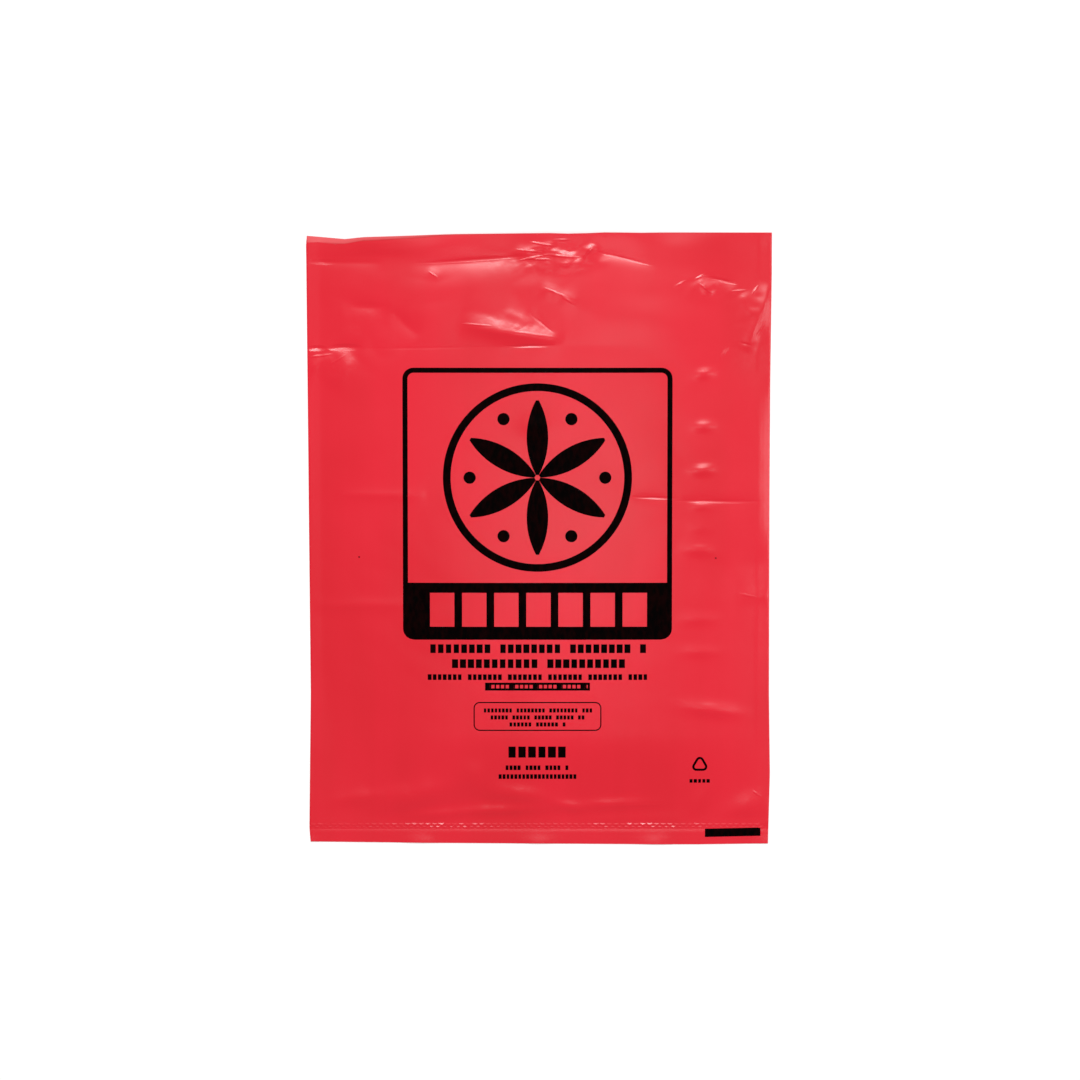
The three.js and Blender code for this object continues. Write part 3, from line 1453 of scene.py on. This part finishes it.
@dataclass(frozen=True)
class Print:
    """What every printed shape shares: the film below it, its ink and how far it stands off the film."""

    film: bpy.types.Object
    ink: bpy.types.Material
    trees: dict
    lift: float = 0.09

    def values(self) -> dict:
        """Give the inputs that every tree takes."""
        return {"Film": self.film, "Lift": self.lift * MM, "Finish": self.ink}

    def lay(self, name: str, patches: list) -> bpy.types.Object:
        """Lay flat patches, drawn in millimetres, on the film.

        Args:
            name: the print's name.
            patches: the vertices and the faces of each patch.

        Returns:
            The laid print.
        """
        vertices, faces = merged(patches)
        flat = mesh_object(name, vertices * MM, faces, self.ink)
        return grown(self.trees["lay"], name, flat, self.values())

    def row(self, name: str, row: "Row", seed: int) -> bpy.types.Object:
        """Print a row of plain blocks on the film.

        Args:
            name: the print's name.
            row: the row's sizes.
            seed: the seed for the blocks' widths.

        Returns:
            The laid row.
        """
        lengths = {
            "Left": row.left,
            "Right": row.right,
            "Middle": row.middle,
            "Tall": row.tall,
            "Pitch": row.pitch,
            "Bare": row.bare,
        }
        values = {**self.values(), **in_metres(lengths), "Group": row.group, "Seed": seed}
        start = mesh_object(name, np.zeros((1, 3)), [], self.ink)
        return grown(self.trees["row"], name, start, values)


@dataclass(frozen=True)
class Row:
    """A row of plain blocks in groups. Lengths are in millimetres."""

    left: float
    right: float
    middle: float
    tall: float
    pitch: float
    bare: float
    group: int


@dataclass(frozen=True)
class PrintedFrame:
    """The square frame with rounded corners, and the solid band with bare blocks across its lower end."""

    left: float = -133.2
    right: float = 129.3
    high: float = 169.1
    band_high: float = -40.9
    low: float = -96.8
    line: float = 4.9
    radius: float = 10.7
    block_low: float = -84.0
    block_high: float = -50.7
    blocks_left: float = -106.9
    blocks_right: float = 104.9
    blocks: int = 7
    between: float = 7.5
    step: float = 3.0
    band_rows: int = 4
    corner_shares: tuple = (0.0, 0.03, 0.12, 0.3, 0.6, 1.0)

    def border(self) -> tuple[np.ndarray, list]:
        """Draw the frame's line from the band's left end over the top to its right end.

        Returns:
            The vertices and the faces.
        """
        half = self.line / 2.0
        left = self.left + half
        right = self.right - half
        high = self.high - half
        corners = ((left, self.band_high), (left, high), (right, high), (right, self.band_high))
        return outline(corners, self.radius - half, self.line, self.step, False)

    def floor_line(self, across: np.ndarray) -> np.ndarray:
        """Give the height of the band's lower edge, with its rounded corners.

        Args:
            across: across the bag, in millimetres.

        Returns:
            The edge's place along the bag, in millimetres.
        """
        inward = np.minimum(across - self.left, self.right - across)
        into = np.clip(self.radius - inward, 0.0, self.radius)
        return self.low + self.radius - np.sqrt(self.radius**2 - into**2)

    def band(self) -> list:
        """Draw the solid band around its bare blocks.

        Returns:
            The vertices and the faces of each patch.
        """
        wide = (self.blocks_right - self.blocks_left - self.between * (self.blocks - 1)) / self.blocks
        edges = []
        for i in range(self.blocks):
            start = self.blocks_left + i * (wide + self.between)
            edges.extend((start, start + wide))
        corner = tuple(self.radius * share for share in self.corner_shares)
        lefts = tuple(self.left + inset for inset in corner)
        rights = tuple(self.right - inset for inset in corner[::-1])
        breaks = (*lefts, *edges, *rights)
        across = stations(breaks, (self.step,) * (len(breaks) - 1))
        levels = ((self.band_high, self.block_high), (self.block_low, self.low))
        patches = []
        for high, low in levels:
            bottom = self.floor_line(across) if low == self.low else np.full_like(across, low)
            first = np.column_stack((across, np.full_like(across, high)))
            patches.append(strip(first, np.column_stack((across, bottom)), self.band_rows))
        sides = (self.left, *edges, self.right)
        for left, right in zip(sides[::2], sides[1::2]):
            patches.append(rectangle(left, right, self.block_low, self.block_high, self.step))
        return patches

    def build(self, press: Print) -> bpy.types.Object:
        """Print the frame and its band."""
        return press.lay("printed_frame", [self.border(), *self.band()])


@dataclass(frozen=True)
class Rosette:
    """A traditional six-petal compass rosette in a ring."""

    middle: tuple[float, float] = (-2.0, 62.0)
    petal: float = 78.0
    petals: int = 6
    ring: float = 92.0
    line: float = 7.5
    dot: float = 6.0
    dots_at: float = 66.0
    petal_points: int = 29
    petal_rows: int = 6
    ring_points: int = 180
    ring_rows: int = 3
    dot_points: int = 20

    def petal_patch(self) -> tuple[np.ndarray, list]:
        """Draw one petal between two arcs about its neighbours' tips, from the middle up.

        Returns:
            The vertices and the faces.
        """
        turns = np.linspace(0.0, math.pi / 3.0, self.petal_points)[1:-1]
        along = np.sin(turns - math.pi / 6.0) + 0.5
        bulge = np.cos(turns - math.pi / 6.0) - math.cos(math.pi / 6.0)
        left = np.column_stack((-bulge, along)) * self.petal
        right = np.column_stack((bulge, along)) * self.petal
        return strip(left, right, self.petal_rows)

    def dot_patch(self) -> tuple[np.ndarray, list]:
        """Draw one round dot, between two petals.

        Returns:
            The vertices and the faces.
        """
        turn = math.pi / self.petals
        place = (math.sin(turn) * self.dots_at, math.cos(turn) * self.dots_at)
        return disc(place, self.dot, self.dot_points)

    def ring_patch(self) -> tuple[np.ndarray, list]:
        """Draw the ring around the petals.

        Returns:
            The vertices and the faces.
        """
        turns = np.linspace(0.0, -math.tau, self.ring_points, endpoint=False)
        circle = np.column_stack((np.cos(turns), np.sin(turns)))
        middle = np.array(self.middle)
        outer = circle * self.ring + middle
        inner = circle * (self.ring - self.line) + middle
        return strip(outer, inner, self.ring_rows, True)

    def build(self, press: Print) -> bpy.types.Object:
        """Print the rosette.

        Args:
            press: the film, the ink and the trees that every print shares.

        Returns:
            The printed rosette.
        """
        vertices, faces = merged([self.petal_patch(), self.dot_patch()])
        one = mesh_object("petal", vertices * MM, faces, press.ink)
        middle = (self.middle[0] * MM, self.middle[1] * MM, 0.0)
        sizes = {"Copies": self.petals, "Middle": middle}
        petals = grown(press.trees["turned"], "petals", one, {**press.values(), **sizes})
        ring = press.lay("ring", [self.ring_patch()])
        return joined("printed_rosette", [petals, ring], press.ink)


@dataclass(frozen=True)
class PrintedRows:
    """The rows of plain blocks below the frame, the dark strip and the box around three of the rows."""

    rows: tuple = (
        Row(-107.8, 104.9, -105.6, 8.6, 7.6, 1.9, 9),
        Row(-86.4, 84.4, -120.3, 8.6, 7.6, 1.9, 12),
        Row(-109.8, 105.9, -133.6, 5.6, 4.9, 1.3, 8),
        Row(-55.0, 52.0, -166.4, 4.0, 3.6, 1.0, 9),
        Row(-48.3, 44.4, -173.3, 4.0, 3.6, 1.0, 6),
        Row(-29.8, 25.9, -180.2, 4.0, 3.6, 1.0, 7),
        Row(-31.7, 26.8, -207.6, 11.0, 9.8, 2.4, 40),
        Row(-33.7, 28.8, -223.3, 4.6, 3.9, 1.0, 5),
        Row(-40.5, 36.6, -232.2, 4.6, 3.9, 1.0, 50),
        Row(146.5, 167.5, -236.8, 3.6, 4.2, 1.2, 50),
    )
    strip_left: float = -53.2
    strip_right: float = 49.3
    strip_high: float = -139.0
    strip_low: float = -146.8
    strip_margin: float = 2.2
    strip_pitch: float = 4.6
    strip_between: float = 1.5
    strip_group: int = 5
    strip_step: float = 2.0
    box_left: float = -63.9
    box_right: float = 60.0
    box_high: float = -158.6
    box_low: float = -186.0
    box_radius: float = 5.5
    box_line: float = 1.1
    mark: tuple[float, float] = (157.1, -225.6)
    mark_side: float = 17.0
    mark_line: float = 2.2
    mark_radius: float = 3.0
    step: float = 3.0

    def dark_strip(self) -> list:
        """Draw the dark strip around a row of small bare blocks.

        Returns:
            The vertices and the faces of each patch.
        """
        left = self.strip_left
        right = self.strip_right
        inner_high = self.strip_high - self.strip_margin
        inner_low = self.strip_low + self.strip_margin
        patches = [
            rectangle(left, right, inner_high, self.strip_high),
            rectangle(left, right, self.strip_low, inner_low),
        ]
        places = stations((left, right), (self.strip_pitch,))
        for i, place in enumerate(places[:-1]):
            wide = self.strip_pitch if i % self.strip_group == 0 else self.strip_between
            patches.append(rectangle(place, place + wide, inner_low, inner_high, self.strip_step))
        end = right - self.strip_margin
        patches.append(rectangle(end, right, inner_low, inner_high, self.strip_step))
        return patches

    def box(self) -> tuple[np.ndarray, list]:
        """Draw the thin rounded box.

        Returns:
            The vertices and the faces.
        """
        corners = (
            (self.box_left, self.box_low),
            (self.box_left, self.box_high),
            (self.box_right, self.box_high),
            (self.box_right, self.box_low),
        )
        return outline(corners, self.box_radius, self.box_line, self.step, True)

    def triangle(self) -> tuple[np.ndarray, list]:
        """Draw the small triangle mark.

        Returns:
            The vertices and the faces.
        """
        x, y = self.mark
        half = self.mark_side / 2.0
        tall = half * math.sqrt(3.0)
        corners = ((x - half, y), (x, y + tall), (x + half, y))
        return outline(corners, self.mark_radius, self.mark_line, self.step, True)

    def build(self, press: Print) -> bpy.types.Object:
        """Print the rows and the marks.

        Args:
            press: the film, the ink and the trees that every print shares.

        Returns:
            The printed rows.
        """
        parts = [press.row(f"row_{seed}", row, seed) for seed, row in enumerate(self.rows)]
        parts.append(press.lay("marks", [*self.dark_strip(), self.box(), self.triangle()]))
        return joined("printed_rows", parts, press.ink)


@dataclass(frozen=True)
class RegistrationBar:
    """The black bar that the bag maker's machine reads, just below the seal, and two stray specks of ink."""

    left: float = 162.5
    right: float = 217.0
    low: float = -292.2
    high: float = -284.0
    tilt: float = 1.2
    specks: tuple = ((-176.0, -16.0), (172.0, -17.0))
    speck: float = 0.75
    speck_points: int = 8
    step: float = 1.5

    def build(self, press: Print) -> bpy.types.Object:
        """Print the bar and the specks.

        Args:
            press: the film, the ink and the trees that every print shares.

        Returns:
            The printed bar.
        """
        vertices, faces = rectangle(self.left, self.right, self.low, self.high, self.step)
        share = (vertices[:, 0] - self.left) / (self.right - self.left)
        vertices[:, 1] += self.tilt * (share - 0.5)
        specks = [disc(place, self.speck, self.speck_points) for place in self.specks]
        return press.lay("registration_bar", [(vertices, faces), *specks])


@dataclass(frozen=True)
class SealKnurl:
    """The knurled pattern that the sealing bar presses into the fused band."""

    left: float = -223.5
    right: float = 223.5
    middle: float = -281.7
    apart: float = 2.5
    pitch: float = 6.6
    across: float = 6.4
    along: float = 3.0
    tall: float = 0.50
    firmest: float = -95.0
    firm_every: float = 198.0
    seed: int = 4

    def build(self, press: Print, film: bpy.types.Material) -> bpy.types.Object:
        """Press the knurl into the seal.

        Args:
            press: the film, the ink and the trees that every print shares.
            film: the film's material.

        Returns:
            The knurl.
        """
        start = mesh_object("seal_knurl", np.zeros((1, 3)), [], film)
        lengths = {
            "Left": self.left,
            "Right": self.right,
            "Middle": self.middle,
            "Apart": self.apart,
            "Pitch": self.pitch,
            "Across": self.across,
            "Along": self.along,
            "Tall": self.tall,
            "Firmest": self.firmest,
            "Firm Every": self.firm_every,
        }
        values = {"Film": press.film, "Lift": 0.0, "Finish": film, "Seed": self.seed, **in_metres(lengths)}
        knurl = grown(press.trees["knurl"], "seal_knurl", start, values)
        knurl.data.polygons.foreach_set("use_smooth", np.zeros(len(knurl.data.polygons), dtype=bool))
        return knurl


# The studio


@dataclass(frozen=True)
class Panel:
    """A soft panel of light. Its places and its size are in metres, and its power is in watts."""

    name: str
    place: tuple[float, float, float]
    aim: tuple[float, float, float]
    size: tuple[float, float]
    power: float

    def hang(self) -> None:
        """Hang the panel so that it faces its aim."""
        data = bpy.data.lights.new(self.name, "AREA")
        data.shape = "RECTANGLE"
        data.size = self.size[0]
        data.size_y = self.size[1]
        data.energy = self.power
        light = bpy.data.objects.new(self.name, data)
        light.location = self.place
        light.rotation_euler = (Vector(self.aim) - Vector(self.place)).to_track_quat("-Z", "Y").to_euler()
        light.visible_camera = False
        bpy.context.scene.collection.objects.link(light)


@dataclass(frozen=True)
class Studio:
    """The pale floor, the soft lights and the camera above the bag."""

    distance: float = 4.5
    lean: float = math.radians(5.6)
    sensor: float = 36.0
    frame_width: float = 1.0543
    aim: tuple[float, float, float] = (0.0005, 0.0003, 0.0)
    clip_end: float = 50.0
    floor_reach: float = 4.0
    floor_height: float = -0.0004
    world: float = 0.55
    panels: tuple = (
        Panel("key_panel", (0.2, 2.7, 5.2), (0.1, 0.3, 0.0), (3.4, 2.8), 185.0),
        Panel("key_core", (0.0, 0.98, 2.6), (0.0, 0.3, 0.0), (0.9, 0.2), 12.0),
        Panel("middle_panel", (0.11, -0.2, 2.6), (0.11, -0.2, 0.0), (0.42, 0.3), 1.1),
        Panel("side_panel", (1.7, -0.15, 2.4), (0.1, -0.15, 0.0), (0.5, 1.4), 8.0),
    )

    def floor(self) -> None:
        """Lay the floor just below the bag."""
        signs = ((-1.0, -1.0), (1.0, -1.0), (1.0, 1.0), (-1.0, 1.0))
        corners = [(self.floor_reach * x, self.floor_reach * y, self.floor_height) for x, y in signs]
        mesh_object("floor", np.array(corners), [(0, 1, 2, 3)], FloorFinish().material())

    def camera(self) -> None:
        """Place the camera, which looks down from a little beyond the mouth's side."""
        data = bpy.data.cameras.new("camera")
        data.sensor_width = self.sensor
        data.lens = self.sensor * self.distance / self.frame_width
        data.clip_end = self.clip_end
        camera = bpy.data.objects.new("camera", data)
        aim = Vector(self.aim)
        camera.location = aim + Vector((0.0, math.sin(self.lean), math.cos(self.lean))) * self.distance
        camera.rotation_euler = (-self.lean, 0.0, 0.0)
        bpy.context.scene.collection.objects.link(camera)
        bpy.context.scene.camera = camera

    def lights(self) -> None:
        """Hang the panels, and fill the room with even light."""
        for panel in self.panels:
            panel.hang()
        world = bpy.data.worlds.new("room")
        world.use_nodes = True
        background = world.node_tree.nodes["Background"]
        background.inputs["Color"].default_value = opaque(1.0, 1.0, 1.0)
        background.inputs["Strength"].default_value = self.world
        bpy.context.scene.world = world

    def build(self) -> None:
        """Set up the studio."""
        self.floor()
        self.camera()
        self.lights()
        bpy.context.scene.view_settings.view_transform = "Standard"


def report(piece: bpy.types.Object) -> None:
    """Ride a finished piece on the bag's body and log it.

    Args:
        piece: the finished piece.
    """
    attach(piece, BODY)
    log.info("%s: %d faces", piece.name, len(piece.data.polygons))


def main() -> None:
    """Build the bag, its print and its seal in the studio."""
    low, high = (np.array(corner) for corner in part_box("bag_film"))
    width, length, _ = (high - low) / MM
    Studio().build()
    bag = FilmBag(FilmRelief(width, length), FilmFinish())
    film = bag.build()
    report(film)
    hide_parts("bag_film")
    trees = {"lay": lay_tree(), "turned": turned_tree(), "row": row_tree(), "knurl": knurl_tree()}
    press = Print(film, InkFinish().material(), trees)
    for printed in (PrintedFrame(), Rosette(), PrintedRows(), RegistrationBar()):
        report(printed.build(press))
    report(SealKnurl().build(press, film.data.materials[0]))


if __name__ == "__main__":
    logging.basicConfig(level=logging.INFO, format="%(name)s: %(message)s")
    main()
